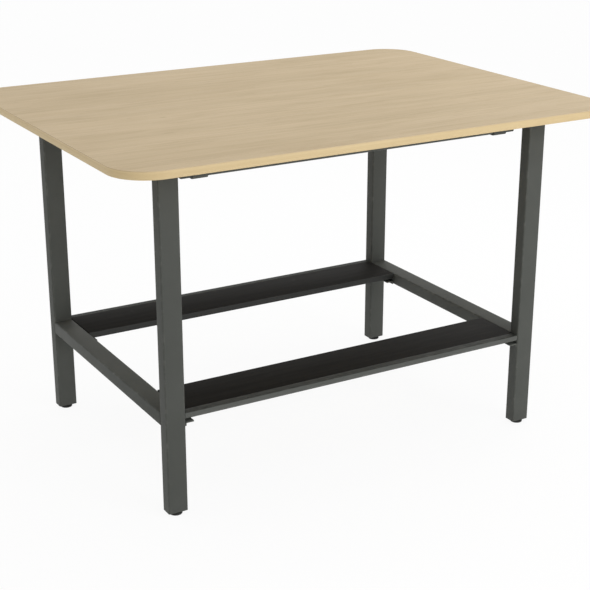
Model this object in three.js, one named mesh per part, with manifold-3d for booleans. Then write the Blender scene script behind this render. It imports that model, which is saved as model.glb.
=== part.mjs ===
// Standing meeting table: veneered top with rounded corners on a tube frame, a footrest on each long side.
// Millimetres. +X runs along the long side, +Y to the back, +Z up. The floor is at height 0.

import * as THREE from "three";
import { mergeVertices } from "three/addons/utils/BufferGeometryUtils.js";
import Module from "manifold-3d";

const wasm = await Module();
wasm.setup();

// Table top
const overallHeight = 1050;
const topLength = 1600;
const topDepth = 1200;
const topThickness = 23;
const topCornerRadius = 115;
const veneerThickness = 0.7;
const edgeBandThickness = 2;
const edgeBandRounding = 1;

// Frame tube and its layout
const tubeWide = 60;
const tubeNarrow = 40;
const tubeWall = 2;
const tubeCorner = 5;
const frameLength = 1284;
const frameDepth = 886;
const legFloorGap = 10;
const sideRailTop = 310;

// Leg plates under the top
const plateThickness = 5;
const plateLength = 85;
const plateDepth = 110;
const plateCorner = 8;
const plateScrewInset = 15;
const screwHoleRadius = 3;

// Long beams, the spigots that carry them and the straps round them
const beamEndGap = 28;
const beamSetback = 2;
const spigotHeight = 36;
const spigotWall = 3;
const spigotCorner = 4;
const spigotReach = 80;
const spigotClearance = 0.5;
const strapCentre = 500;
const strapWidth = 46;
const strapThickness = 3.5;
const strapFlange = 24;
const strapBend = 4;

// Footrests
const footrestInnerEdge = 257.5;
const footrestOuterEdge = 440;
const footrestEndGap = 0.5;
const boardThickness = 19;
const nosingWidth = 24;
const nosingHeight = 21;
const nosingWall = 2;
const nosingTopRounding = 2.5;
const nosingFrontRounding = 9;
const stiffenerWidth = 60;
const stiffenerHeight = 9;
const stiffenerWall = 1.5;
const stiffenerCorner = 2;
const stiffenerCentre = 345;
const stiffenerEndGap = 7;
const angleReach = 27;
const angleHeight = 12;
const angleThickness = 4;
const angleBend = 3;
const boltSpacing = 30;
const boltShankRadius = 3;
const boltHoleRadius = 3.3;
const boltHeadAcross = 10;
const boltHeadHeight = 4;
const boltDepthInBoard = 12;

// Levelling feet
const insertRecess = 6;
const insertHeight = 30;
const insertBoreRadius = 5.2;
const stemRadius = 4.9;
const stemLength = 56;
const stemTip = 1.5;
const collarAcross = 15;
const collarHeight = 7;
const pivotRadius = 3.5;
const padRadius = 19;
const padHeight = 8;
const padRounding = 1.5;
const padFloor = 2.5;

// Gap kept between pieces that lie against each other without a weld or glue
const seatGap = 0.3;

// How far a cutting body runs past the piece it cuts, and how close two corner points are one point
const cutMargin = 1;
const samePoint = 1e-4;

// Heights and half sizes that follow from the sizes above
const topUnderside = overallHeight - topThickness;
const frameTop = topUnderside - plateThickness;
const legOuterX = frameLength / 2;
const legInnerX = legOuterX - tubeWide;
const legOuterY = frameDepth / 2;
const legInnerY = legOuterY - tubeNarrow;
const legCentreX = legOuterX - tubeWide / 2;
const legCentreY = legOuterY - tubeNarrow / 2;
const beamHalfLength = legInnerX - beamEndGap;
const beamOuterY = legInnerY - beamSetback;
const beamCentreY = beamOuterY - tubeNarrow / 2;
const beamBottom = frameTop - tubeWide;
const boardBottom = sideRailTop - boardThickness;
const angleTop = boardBottom - stiffenerHeight;
const boltX = legInnerX - angleThickness - (angleReach - angleThickness) / 2;

// Facets: half the points of a small circle, points of a turned piece, half the points of a tube's corner
const circleSegments = 8;
const padSegments = 32;
const rodSegments = 16;
const cornerSegments = 3;

const finishes = {
  core: { color: 0x9c7f58, roughness: 0.9, metalness: 0 },
  veneer: { color: 0xc4b18e, roughness: 0.5, metalness: 0 },
  edge: { color: 0xdfc79a, roughness: 0.5, metalness: 0 },
  coat: { color: 0x50524d, roughness: 0.55, metalness: 0.1 },
  black: { color: 0x272725, roughness: 0.6, metalness: 0 },
  plastic: { color: 0x2b2c2b, roughness: 0.6, metalness: 0 },
  zinc: { color: 0xa9abad, roughness: 0.35, metalness: 1 },
};

const table = new THREE.Group();
table.name = "standing_meeting_table";

/** Adds one named piece in the given finish. */
function addPiece(name, geometry, finish) {
  const mesh = new THREE.Mesh(geometry, new THREE.MeshStandardMaterial(finishes[finish]));
  mesh.name = name;
  table.add(mesh);
}

/** Draws a closed outline counter-clockwise through corners [u, v, radius], each rounded by its radius. */
function outline(path, corners) {
  const flat = corners.map(([u, v]) => new THREE.Vector2(u, v));
  const loop = THREE.ShapeUtils.isClockWise(flat) ? [...corners].reverse() : corners;
  const count = loop.length;
  loop.forEach(([u, v, radius], index) => {
    const before = loop[(index + count - 1) % count];
    const after = loop[(index + 1) % count];
    const here = new THREE.Vector2(u, v);
    const towardsBefore = new THREE.Vector2(before[0] - u, before[1] - v).normalize();
    const towardsAfter = new THREE.Vector2(after[0] - u, after[1] - v).normalize();
    const start = here.clone().addScaledVector(towardsBefore, radius);
    const end = here.clone().addScaledVector(towardsAfter, radius);
    if (index === 0) {
      path.moveTo(start.x, start.y);
    } else {
      path.lineTo(start.x, start.y);
    }
    if (radius > 0) {
      const centre = start.clone().addScaledVector(towardsAfter, radius);
      const from = Math.atan2(start.y - centre.y, start.x - centre.x);
      const to = Math.atan2(end.y - centre.y, end.x - centre.x);
      const clockwise = towardsBefore.cross(towardsAfter) > 0;
      path.absarc(centre.x, centre.y, radius, from, to, clockwise);
    }
  });
  path.closePath();
  return path;
}

/** Corners of a rectangle, all with the same rounding. */
function rectangle(centreU, centreV, sizeU, sizeV, radius) {
  return [
    [centreU - sizeU / 2, centreV - sizeV / 2, radius],
    [centreU + sizeU / 2, centreV - sizeV / 2, radius],
    [centreU + sizeU / 2, centreV + sizeV / 2, radius],
    [centreU - sizeU / 2, centreV + sizeV / 2, radius],
  ];
}

/** Outline of a rectangular tube: outer corners rounded, one hole inside the wall. */
function tubeOutline(centreU, centreV, sizeU, sizeV, radius, wall) {
  const shape = outline(new THREE.Shape(), rectangle(centreU, centreV, sizeU, sizeV, radius));
  const innerRadius = Math.max(radius - wall, 0);
  const inner = rectangle(centreU, centreV, sizeU - 2 * wall, sizeV - 2 * wall, innerRadius);
  shape.holes.push(outline(new THREE.Path(), inner));
  return shape;
}

/** Adds a round hole to a shape. */
function pierce(shape, u, v, radius) {
  const hole = new THREE.Path();
  hole.absarc(u, v, radius, 0, 2 * Math.PI, true);
  shape.holes.push(hole);
}

// Directions of a shape's u and v for an extrusion along each axis
const planes = {
  x: [new THREE.Vector3(0, 1, 0), new THREE.Vector3(0, 0, 1), new THREE.Vector3(1, 0, 0)],
  y: [new THREE.Vector3(0, 0, 1), new THREE.Vector3(1, 0, 0), new THREE.Vector3(0, 1, 0)],
  z: [new THREE.Vector3(1, 0, 0), new THREE.Vector3(0, 1, 0), new THREE.Vector3(0, 0, 1)],
};

/** Extrudes a shape along an axis between two positions on it. */
function extrude(shape, axis, from, to, segments = cornerSegments) {
  const low = Math.min(from, to);
  const depth = Math.abs(to - from);
  const geometry = new THREE.ExtrudeGeometry(shape, { depth, bevelEnabled: false, curveSegments: segments });
  const [u, v, w] = planes[axis];
  const turn = new THREE.Matrix4().makeBasis(u, v, w);
  turn.setPosition(w.clone().multiplyScalar(low));
  return geometry.applyMatrix4(turn);
}

/** Turns a profile of [radius, height] points about an upright axis at (x, y). */
function turned(profile, x, y, segments) {
  const points = profile.map(([radius, height]) => new THREE.Vector2(radius, height));
  const geometry = new THREE.LatheGeometry(points, segments);
  return geometry.rotateX(Math.PI / 2).translate(x, y, 0);
}

/** Upright prism with flat sides, given its size across the flats. */
function hexagon(x, y, across, from, to) {
  const height = to - from;
  const geometry = new THREE.CylinderGeometry(across / Math.sqrt(3), across / Math.sqrt(3), height, 6);
  return geometry.rotateX(Math.PI / 2).translate(x, y, (from + to) / 2);
}

/** Upright round rod. */
function rod(x, y, radius, from, to) {
  return turned([[0, from], [radius, from], [radius, to], [0, to]], x, y, rodSegments);
}

/** Solid body of a geometry, for adding and cutting. */
function solid(geometry) {
  const bare = geometry.clone();
  bare.deleteAttribute("normal");
  bare.deleteAttribute("uv");
  const merged = mergeVertices(bare, samePoint);
  return new wasm.Manifold(new wasm.Mesh({
    numProp: 3,
    vertProperties: new Float32Array(merged.attributes.position.array),
    triVerts: new Uint32Array(merged.index.array),
  }));
}

/** Geometry of a solid body, with flat shading. */
function surface(body) {
  const mesh = body.getMesh();
  const geometry = new THREE.BufferGeometry();
  geometry.setAttribute("position", new THREE.BufferAttribute(new Float32Array(mesh.vertProperties), 3));
  geometry.setIndex(new THREE.BufferAttribute(new Uint32Array(mesh.triVerts), 1));
  const flat = geometry.toNonIndexed();
  flat.computeVertexNormals();
  return flat;
}

/** Cuts tools out of a geometry. */
function cut(geometry, tools) {
  return surface(tools.reduce((body, tool) => body.subtract(solid(tool)), solid(geometry)));
}

/** Joins two overlapping geometries into one body. */
function join(first, second) {
  return surface(solid(first).add(solid(second)));
}

/** The four corners of the frame, as a name and the sign of X and Y. */
const corners = [
  ["front_left", -1, -1],
  ["front_right", 1, -1],
  ["rear_left", -1, 1],
  ["rear_right", 1, 1],
];
const ends = [["left", -1], ["right", 1]];
const sides = [["front", -1], ["rear", 1]];

/** The top's outline, drawn in by an inset. */
function topOutline(inset) {
  const length = topLength - 2 * inset;
  const depth = topDepth - 2 * inset;
  return outline(new THREE.Shape(), rectangle(0, 0, length, depth, topCornerRadius - inset));
}

/** Layered top: core between two veneers, with an edge band round them. */
function buildTop() {
  const layers = topOutline(edgeBandThickness);
  const coreBottom = topUnderside + veneerThickness;
  const coreTop = overallHeight - veneerThickness;
  addPiece("tabletop_core", extrude(layers, "z", coreBottom, coreTop, circleSegments), "core");
  const face = extrude(layers, "z", coreTop, overallHeight, circleSegments);
  addPiece("tabletop_face_veneer", face, "veneer");
  const back = extrude(layers, "z", topUnderside, coreBottom, circleSegments);
  addPiece("tabletop_back_veneer", back, "veneer");

  const rounded = new THREE.ExtrudeGeometry(topOutline(edgeBandRounding), {
    depth: topThickness - 2 * edgeBandRounding,
    bevelThickness: edgeBandRounding,
    bevelSize: edgeBandRounding,
    bevelSegments: 2,
    curveSegments: circleSegments,
  });
  rounded.translate(0, 0, topUnderside + edgeBandRounding);
  const filling = extrude(layers, "z", topUnderside - cutMargin, overallHeight + cutMargin, circleSegments);
  addPiece("tabletop_edge_band", cut(rounded, [filling]), "edge");
}

/** One leg with the plate on its upper end. */
function buildLeg(corner, signX, signY) {
  const legX = signX * legCentreX;
  const legY = signY * legCentreY;
  const tube = tubeOutline(legX, legY, tubeWide, tubeNarrow, tubeCorner, tubeWall);
  addPiece(`leg_${corner}`, extrude(tube, "z", legFloorGap, frameTop), "coat");

  const plateX = signX * (legOuterX - plateLength / 2);
  const plateY = signY * (legOuterY - plateDepth / 2);
  const plate = outline(new THREE.Shape(), rectangle(plateX, plateY, plateLength, plateDepth, plateCorner));
  const screwX = signX * (legInnerX - (plateLength - tubeWide) / 2);
  [-1, 1].forEach((way) => {
    const screwY = plateY + way * (plateDepth / 2 - plateScrewInset);
    pierce(plate, screwX, screwY, screwHoleRadius);
  });
  addPiece(`leg_plate_${corner}`, extrude(plate, "z", frameTop, topUnderside, circleSegments), "coat");
}

/** One levelling foot: insert in the leg, stem turning in it, pad on the stem's pivot. */
function buildFoot(corner, signX, signY) {
  const x = signX * legCentreX;
  const y = signY * legCentreY;
  const fit = 2 * (tubeWall + seatGap);
  const plugRadius = tubeCorner - tubeWall - seatGap;
  const plug = outline(new THREE.Shape(), rectangle(x, y, tubeWide - fit, tubeNarrow - fit, plugRadius));
  pierce(plug, x, y, insertBoreRadius);
  const insertBottom = legFloorGap + insertRecess;
  const insert = extrude(plug, "z", insertBottom, insertBottom + insertHeight, circleSegments);
  addPiece(`foot_insert_${corner}`, insert, "plastic");

  const collarBottom = padHeight + seatGap;
  const collarTop = collarBottom + collarHeight;
  const stemTop = collarTop + stemLength;
  const shaft = turned([
    [0, padFloor + seatGap],
    [pivotRadius, padFloor + seatGap],
    [pivotRadius, collarBottom + collarHeight / 2],
    [stemRadius, collarBottom + collarHeight / 2],
    [stemRadius, stemTop - stemTip],
    [stemRadius - stemTip, stemTop],
    [0, stemTop],
  ], x, y, rodSegments);
  const collar = hexagon(x, y, collarAcross, collarBottom, collarTop);
  addPiece(`foot_stem_${corner}`, join(shaft, collar), "zinc");

  const socketRadius = pivotRadius + seatGap;
  const pad = turned([
    [0, 0],
    [padRadius - padRounding, 0],
    [padRadius, padRounding],
    [padRadius, padHeight - padRounding],
    [padRadius - padRounding, padHeight],
    [socketRadius, padHeight],
    [socketRadius, padFloor],
    [0, padFloor],
  ], x, y, padSegments);
  addPiece(`foot_pad_${corner}`, pad, "plastic");
}

/** Rails between the front and rear leg of one end, below at the footrests and above under the top. */
function buildEndRails(end, signX) {
  [["side_rail", sideRailTop], ["cross_rail", frameTop]].forEach(([name, top]) => {
    const height = top - tubeNarrow / 2;
    const tube = tubeOutline(height, signX * legCentreX, tubeNarrow, tubeWide, tubeCorner, tubeWall);
    addPiece(`${name}_${end}`, extrude(tube, "y", -legInnerY, legInnerY), "coat");
  });
}

/** Long beam under one side of the top. */
function buildBeam(side, signY) {
  const height = beamBottom + tubeWide / 2;
  const tube = tubeOutline(signY * beamCentreY, height, tubeNarrow, tubeWide, tubeCorner, tubeWall);
  addPiece(`beam_${side}`, extrude(tube, "x", -beamHalfLength, beamHalfLength), "coat");
}

/** Spigot that carries one end of a beam, and the strap that holds the beam to the top near that end. */
function buildBeamEnd(corner, signX, signY) {
  const spigotTop = frameTop - tubeWall - seatGap;
  const spigotWidth = tubeNarrow - 2 * (tubeWall + spigotClearance);
  const spigotMiddle = spigotTop - spigotHeight / 2;
  const beamY = signY * beamCentreY;
  const tube = tubeOutline(beamY, spigotMiddle, spigotWidth, spigotHeight, spigotCorner, spigotWall);
  const spigot = extrude(tube, "x", signX * (beamHalfLength - spigotReach), signX * legInnerX);
  addPiece(`beam_spigot_${corner}`, spigot, "coat");

  const inside = tubeNarrow / 2 + seatGap;
  const outside = inside + strapThickness;
  const tip = outside + strapFlange;
  const bottom = beamBottom - seatGap - strapThickness;
  const shoulder = topUnderside - strapThickness;
  const outerBend = strapBend + strapThickness;
  const half = [
    [inside, bottom + strapThickness, strapBend],
    [inside, topUnderside, outerBend],
    [tip, topUnderside, 0],
    [tip, shoulder, 0],
    [outside, shoulder, strapBend],
    [outside, bottom, outerBend],
  ];
  const mirrored = half.map(([u, v, radius]) => [-u, v, radius]).reverse();
  const loop = [...half, ...mirrored].map(([u, v, radius]) => [beamY + u, v, radius]);
  const band = outline(new THREE.Shape(), loop);
  const strapLow = signX * strapCentre - strapWidth / 2;
  const strap = extrude(band, "x", strapLow, strapLow + strapWidth);
  const holes = [-1, 1].map((way) => {
    const holeY = beamY + way * (outside + strapFlange / 2);
    return rod(signX * strapCentre, holeY, screwHoleRadius, shoulder - cutMargin, topUnderside + cutMargin);
  });
  addPiece(`beam_strap_${corner}`, cut(strap, holes), "coat");
}

/** Positions of a footrest's bolts, as [end, number, x, y]. */
function boltPlaces(signY) {
  return ends.flatMap(([end, signX]) => [-1, 1].map((way, index) => {
    const boltY = signY * (stiffenerCentre + way * boltSpacing / 2);
    return [end, index + 1, signX * boltX, boltY];
  }));
}

/** Footrest of one side: board, nosing along its outer edge, stiffener below and the bolts that hold it. */
function buildFootrest(side, signY) {
  const halfLength = legInnerX - footrestEndGap;
  const boardTop = sideRailTop;
  const boltTop = boardBottom + boltDepthInBoard;
  const places = boltPlaces(signY);
  const holeBottom = angleTop - angleThickness - cutMargin;
  const holes = places.map(([, , x, y]) => rod(x, y, boltHoleRadius, holeBottom, boltTop + seatGap));

  const nosingInner = footrestOuterEdge - nosingWidth;
  const boardWidth = nosingInner - seatGap - footrestInnerEdge;
  const boardY = signY * (footrestInnerEdge + boardWidth / 2);
  const board = outline(new THREE.Shape(), rectangle(0, boardY, 2 * halfLength, boardWidth, 0));
  addPiece(`footrest_board_${side}`, cut(extrude(board, "z", boardBottom, boardTop), holes), "black");

  const nosing = (inset, kind) => outline(kind, [
    [signY * (nosingInner + inset), boardTop - nosingHeight + inset, 0],
    [signY * (footrestOuterEdge - inset), boardTop - nosingHeight + inset, nosingFrontRounding - inset],
    [signY * (footrestOuterEdge - inset), boardTop - inset, nosingTopRounding - inset],
    [signY * (nosingInner + inset), boardTop - inset, 0],
  ]);
  const profile = nosing(0, new THREE.Shape());
  profile.holes.push(nosing(nosingWall, new THREE.Path()));
  const nosingBar = extrude(profile, "x", -halfLength, halfLength, circleSegments);
  addPiece(`footrest_nosing_${side}`, nosingBar, "coat");

  const middle = boardBottom - stiffenerHeight / 2;
  const stiffenerY = signY * stiffenerCentre;
  const stiffenerSize = [stiffenerWidth, stiffenerHeight, stiffenerCorner, stiffenerWall];
  const flat = tubeOutline(stiffenerY, middle, ...stiffenerSize);
  const stiffenerEnd = legInnerX - stiffenerEndGap;
  const stiffener = extrude(flat, "x", -stiffenerEnd, stiffenerEnd);
  addPiece(`footrest_stiffener_${side}`, cut(stiffener, holes), "coat");

  ends.forEach(([end, signX]) => {
    const lip = outline(new THREE.Shape(), [
      [angleTop, signX * legInnerX, angleBend],
      [angleTop, signX * (legInnerX - angleReach), 0],
      [angleTop - angleThickness, signX * (legInnerX - angleReach), 0],
      [angleTop - angleThickness, signX * (legInnerX - angleThickness), angleBend / 2],
      [angleTop - angleHeight, signX * (legInnerX - angleThickness), 0],
      [angleTop - angleHeight, signX * legInnerX, 0],
    ]);
    const bar = extrude(lip, "y", signY * footrestInnerEdge, signY * footrestOuterEdge);
    addPiece(`footrest_angle_${side}_${end}`, cut(bar, holes), "coat");
  });

  places.forEach(([end, number, x, y]) => {
    const seat = angleTop - angleThickness;
    const head = hexagon(x, y, boltHeadAcross, seat - boltHeadHeight, seat);
    const shank = rod(x, y, boltShankRadius, seat - boltHeadHeight / 2, boltTop);
    addPiece(`footrest_bolt_${side}_${end}_${number}`, join(head, shank), "zinc");
  });
}

buildTop();
corners.forEach(([corner, signX, signY]) => {
  buildLeg(corner, signX, signY);
  buildFoot(corner, signX, signY);
  buildBeamEnd(corner, signX, signY);
});
ends.forEach(([end, signX]) => buildEndRails(end, signX));
sides.forEach(([side, signY]) => {
  buildBeam(side, signY);
  buildFootrest(side, signY);
});

export default table;
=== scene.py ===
"""Looks of the standing meeting table: finishes, fine pieces, studio and camera, in the CAD model's frame."""

import logging
import math
from dataclasses import dataclass
from enum import Enum
from functools import cache
from typing import Any, Optional, Sequence, Union

import bmesh
import bpy
from mathutils import Matrix, Vector


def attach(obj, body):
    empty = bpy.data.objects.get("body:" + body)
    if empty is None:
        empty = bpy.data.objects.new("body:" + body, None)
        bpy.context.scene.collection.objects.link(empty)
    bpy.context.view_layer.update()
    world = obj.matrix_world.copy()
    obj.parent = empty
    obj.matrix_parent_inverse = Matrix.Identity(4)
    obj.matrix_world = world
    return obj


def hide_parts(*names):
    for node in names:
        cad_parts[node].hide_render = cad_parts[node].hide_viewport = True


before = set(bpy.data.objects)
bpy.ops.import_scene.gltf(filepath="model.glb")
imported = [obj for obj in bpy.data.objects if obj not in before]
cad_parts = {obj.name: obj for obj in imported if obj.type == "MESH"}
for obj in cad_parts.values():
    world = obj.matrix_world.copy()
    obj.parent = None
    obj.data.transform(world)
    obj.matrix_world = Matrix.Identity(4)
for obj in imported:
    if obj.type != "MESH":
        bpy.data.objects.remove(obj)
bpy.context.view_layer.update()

LOG = logging.getLogger("standing_table")

METRES = 0.001
SAME_POINT = 0.002
SHARP = math.radians(32.0)
EASED = math.radians(50.0)
NARROW_FACE = 4.0
BEAD_SIDES = 8
BEAD_END = 0.6
BEAD_SWELL = 0.14
RIPPLE_CUTS = 4
CREST_START = 0.42

Colour = tuple[float, float, float, float]
Triple = tuple[float, float, float]
Corner2 = tuple[float, float, float]

WHITE: Colour = (1.0, 1.0, 1.0, 1.0)


def tint(code: str) -> Colour:
    """Turns an sRGB code into the linear colour that a shader takes.

    Args:
        code: six hexadecimal digits, such as "c4b18e".

    Returns:
        Red, green, blue and an alpha of 1.
    """
    parts = [int(code[at:at + 2], 16) / 255 for at in (0, 2, 4)]
    red, green, blue = (
        part / 12.92 if part <= 0.04045 else ((part + 0.055) / 1.055) ** 2.4 for part in parts
    )
    return (red, green, blue, 1.0)


class Slot(Enum):
    """Material slots of the record."""

    CORE = "board_core"
    VENEER = "oak_veneer"
    EDGE = "oak_edge"
    LAMINATE = "black_laminate"
    COAT = "powder_coat"
    PLASTIC = "dark_plastic"
    ZINC = "zinc_steel"


class Place(Enum):
    """The four legs, as a name and the sign of X and Y."""

    FRONT_LEFT = ("front_left", -1, -1)
    FRONT_RIGHT = ("front_right", 1, -1)
    REAR_LEFT = ("rear_left", -1, 1)
    REAR_RIGHT = ("rear_right", 1, 1)

    @property
    def label(self) -> str:
        """Name of the place."""
        return self.value[0]

    @property
    def signs(self) -> tuple[int, int]:
        """Sign of X and sign of Y."""
        return self.value[1], self.value[2]


class End(Enum):
    """The two short ends of the table."""

    LEFT = ("left", -1)
    RIGHT = ("right", 1)


class Flank(Enum):
    """The two long sides of the table."""

    FRONT = ("front", -1)
    REAR = ("rear", 1)


class Axis(Enum):
    """Direction a section is drawn out in, with the world directions of its u, v and length."""

    X = ((0, 1, 0), (0, 0, 1), (1, 0, 0))
    Y = ((0, 0, 1), (1, 0, 0), (0, 1, 0))
    Z = ((1, 0, 0), (0, 1, 0), (0, 0, 1))

    @property
    def matrix(self) -> Matrix:
        """Rotation from the drawing board to the world."""
        return Matrix(self.value).transposed()

    @property
    def along(self) -> Vector:
        """Unit vector of the length."""
        return Vector(self.value[2])


Operand = Union["Value", float, int]


@dataclass(frozen=True)
class Value:
    """One output socket of a shader tree that can stand in a Python expression."""

    shader: "Shader"
    socket: bpy.types.NodeSocket

    def __add__(self, other: Operand) -> "Value":
        """Sum."""
        return self.shader.math("ADD", self, other)

    def __radd__(self, other: Operand) -> "Value":
        """Sum with a number on the left."""
        return self.shader.math("ADD", other, self)

    def __sub__(self, other: Operand) -> "Value":
        """Difference."""
        return self.shader.math("SUBTRACT", self, other)

    def __rsub__(self, other: Operand) -> "Value":
        """Difference from a number on the left."""
        return self.shader.math("SUBTRACT", other, self)

    def __mul__(self, other: Operand) -> "Value":
        """Product."""
        return self.shader.math("MULTIPLY", self, other)

    def __rmul__(self, other: Operand) -> "Value":
        """Product with a number on the left."""
        return self.shader.math("MULTIPLY", other, self)

    def clamped(self) -> "Value":
        """The value kept between 0 and 1."""
        return self.shader.math("MULTIPLY", self, 1.0, clamp=True)

    def step(self, low: float, high: float) -> "Value":
        """Smooth rise from 0 at low to 1 at high, or a fall where high is the smaller one."""
        inputs = {"Value": self, "From Min": low, "From Max": high}
        return self.shader.value("ShaderNodeMapRange", {"interpolation_type": "SMOOTHSTEP"}, inputs)


class Shader:
    """A node tree under construction."""

    def __init__(self, tree: bpy.types.NodeTree) -> None:
        """Starts on an emptied tree.

        Args:
            tree: node tree of a material or world.
        """
        self.tree = tree
        self.tree.nodes.clear()
        self._place: Optional[Value] = None

    def node(
        self, kind: str, settings: Optional[dict[str, Any]] = None, inputs: Optional[dict[Any, Any]] = None
    ) -> bpy.types.Node:
        """Adds one node.

        Args:
            kind: type name of the node.
            settings: properties set first, such as an operation.
            inputs: constants or links, by socket name or number.

        Returns:
            The new node.
        """
        made = self.tree.nodes.new(kind)
        for name, setting in (settings or {}).items():
            setattr(made, name, setting)
        for key, given in (inputs or {}).items():
            if isinstance(given, Value):
                self.tree.links.new(given.socket, made.inputs[key])
            else:
                made.inputs[key].default_value = given
        return made

    def value(
        self,
        kind: str,
        settings: Optional[dict[str, Any]] = None,
        inputs: Optional[dict[Any, Any]] = None,
        output: Union[int, str] = 0,
    ) -> Value:
        """Adds one node and gives one of its outputs, by name or number."""
        return Value(self, self.node(kind, settings, inputs).outputs[output])

    def math(self, operation: str, first: Operand, second: Operand, clamp: bool = False) -> Value:
        """Adds a Math node and gives its result."""
        settings = {"operation": operation, "use_clamp": clamp}
        return self.value("ShaderNodeMath", settings, {0: first, 1: second})

    @property
    def place(self) -> Value:
        """Object coordinates, in metres of the shared frame."""
        if self._place is None:
            self._place = self.value("ShaderNodeTexCoord", output="Object")
        return self._place

    def axis(self, number: int) -> Value:
        """One of the object coordinates in metres, with 0, 1 or 2 for X, Y or Z."""
        return self.value("ShaderNodeSeparateXYZ", inputs={0: self.place}, output=number)

    def stretched(self, cycles: Union[float, Triple]) -> Value:
        """Object coordinates in cycles per metre, the same on all axes or one number for each."""
        scale = cycles if isinstance(cycles, tuple) else (cycles, cycles, cycles)
        return self.value("ShaderNodeMapping", inputs={"Vector": self.place, "Scale": scale})

    def noise(
        self, cycles: Union[float, Triple], detail: float = 4.0, rough: float = 0.55, twist: float = 0.0
    ) -> Value:
        """Adds noise on the object coordinates.

        Args:
            cycles: cycles per metre, the same on all axes or one number for each.
            detail: octaves.
            rough: weight of the finer octaves.
            twist: distortion.

        Returns:
            The noise, from 0 to 1.
        """
        placed = self.stretched(cycles)
        inputs = {"Vector": placed, "Scale": 1.0, "Detail": detail, "Roughness": rough, "Distortion": twist}
        return self.value("ShaderNodeTexNoise", inputs=inputs)

    def blend(self, share: Operand, first: Union[Value, Colour], second: Union[Value, Colour]) -> Value:
        """Mixes two colours by the share of the second."""
        settings = {"data_type": "RGBA", "clamp_factor": True}
        return self.value("ShaderNodeMix", settings, {0: share, 6: first, 7: second}, output=2)

    def worn(self) -> Value:
        """Mask of the roundings and arrises, broken up as handling wears them."""
        marked = self.value("ShaderNodeAttribute", {"attribute_name": "wear"}, output="Fac")
        return marked * self.noise(38.0, 5.0, 0.65).step(0.46, 0.72)

    def bump(self, height: Value, strength: float, depth: float) -> Value:
        """Bends the normal by a relief of 0 to 1 that is some metres deep."""
        inputs = {"Height": height, "Strength": strength, "Distance": depth}
        return self.value("ShaderNodeBump", inputs=inputs)

    def surface(self, **sockets: Any) -> None:
        """Closes the tree with one Principled surface.

        Args:
            sockets: constants or links, with _ for the spaces of a socket's name.
        """
        inputs = {name.replace("_", " "): given for name, given in sockets.items()}
        surface = self.value("ShaderNodeBsdfPrincipled", inputs=inputs)
        self.node("ShaderNodeOutputMaterial", inputs={"Surface": surface})


@dataclass(frozen=True)
class Finish:
    """A finish that can be put on pieces."""

    title: str

    @cache
    def material(self) -> bpy.types.Material:
        """Makes the finish's material when it is first asked for.

        Returns:
            The material with its nodes laid, the same one each time.
        """
        made = bpy.data.materials.new(self.title)
        made.use_nodes = True
        self.lay(Shader(made.node_tree))
        return made

    def lay(self, shader: Shader) -> None:
        """Lays the nodes of the finish.

        Args:
            shader: emptied tree of the material.
        """
        raise NotImplementedError


@dataclass(frozen=True)
class OakFinish(Finish):
    """Lacquered light oak; leaf is the width of the veneer's leaves, lip the tone of a band's upper arris."""

    pale: str
    warm: str
    dark: str
    run: Triple
    gloss: float
    leaf: float = 0.0
    lip: str = ""
    lip_low: float = 1.0468
    lip_high: float = 1.0492

    def grain(self, along: float, across: float) -> Triple:
        """Cycles per metre of one layer, from its factors along and across the grain."""
        limit = 2.0 * min(self.run)
        return tuple(part * (along if part < limit else across) for part in self.run)

    def lay(self, shader: Shader) -> None:
        """Lays the grain, from wide clouds to single pores.

        Args:
            shader: emptied tree of the material.
        """
        clouds = shader.noise(self.grain(0.30, 0.30), 3.0, 0.5, 0.5).step(0.28, 0.74)
        mottle = shader.noise(self.grain(1.0, 1.3), 4.0, 0.58, 0.5)
        rings = shader.noise(self.grain(0.22, 2.6), 5.0, 0.62, 0.4)
        marks = shader.noise(self.grain(3.2, 4.2), 3.0, 0.55, 0.6).step(0.63, 0.76)
        lines = shader.noise(self.grain(0.5, 12.0), 5.0, 0.66, 0.2)
        pores = shader.noise(self.grain(9.0, 60.0), 3.0, 0.6)
        tone = shader.blend(clouds, tint(self.warm), tint(self.pale))
        if self.leaf:
            row = shader.math("FLOOR", shader.axis(1) * (1.0 / self.leaf), 0.0)
            chance = shader.value("ShaderNodeTexWhiteNoise", {"noise_dimensions": "1D"}, {"W": row})
            tone = shader.blend(chance * 0.12, tone, tint(self.warm))
        fleck = pores.step(0.58, 0.70) * rings.step(0.36, 0.60)
        tone = shader.blend(mottle.step(0.42, 0.80) * 0.18, tone, tint(self.dark))
        tone = shader.blend(rings.step(0.46, 0.76) * 0.10, tone, tint(self.dark))
        tone = shader.blend(lines.step(0.42, 0.68) * 0.26, tone, tint(self.dark))
        tone = shader.blend(marks * 0.30, tone, tint(self.dark))
        tone = shader.blend(fleck * 0.42, tone, tint(self.dark))
        tone = shader.blend(shader.worn() * 0.25, tone, tint(self.pale))
        if self.lip:
            tone = shader.blend(shader.axis(2).step(self.lip_low, self.lip_high), tone, tint(self.lip))
        relief = 1.0 - fleck * 0.7 - lines * 0.2
        shader.surface(
            Base_Color=tone,
            Roughness=self.gloss + mottle * 0.16 + fleck * 0.12,
            Specular_IOR_Level=0.28,
            Normal=shader.bump(relief, 0.28, 0.0002),
        )


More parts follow.
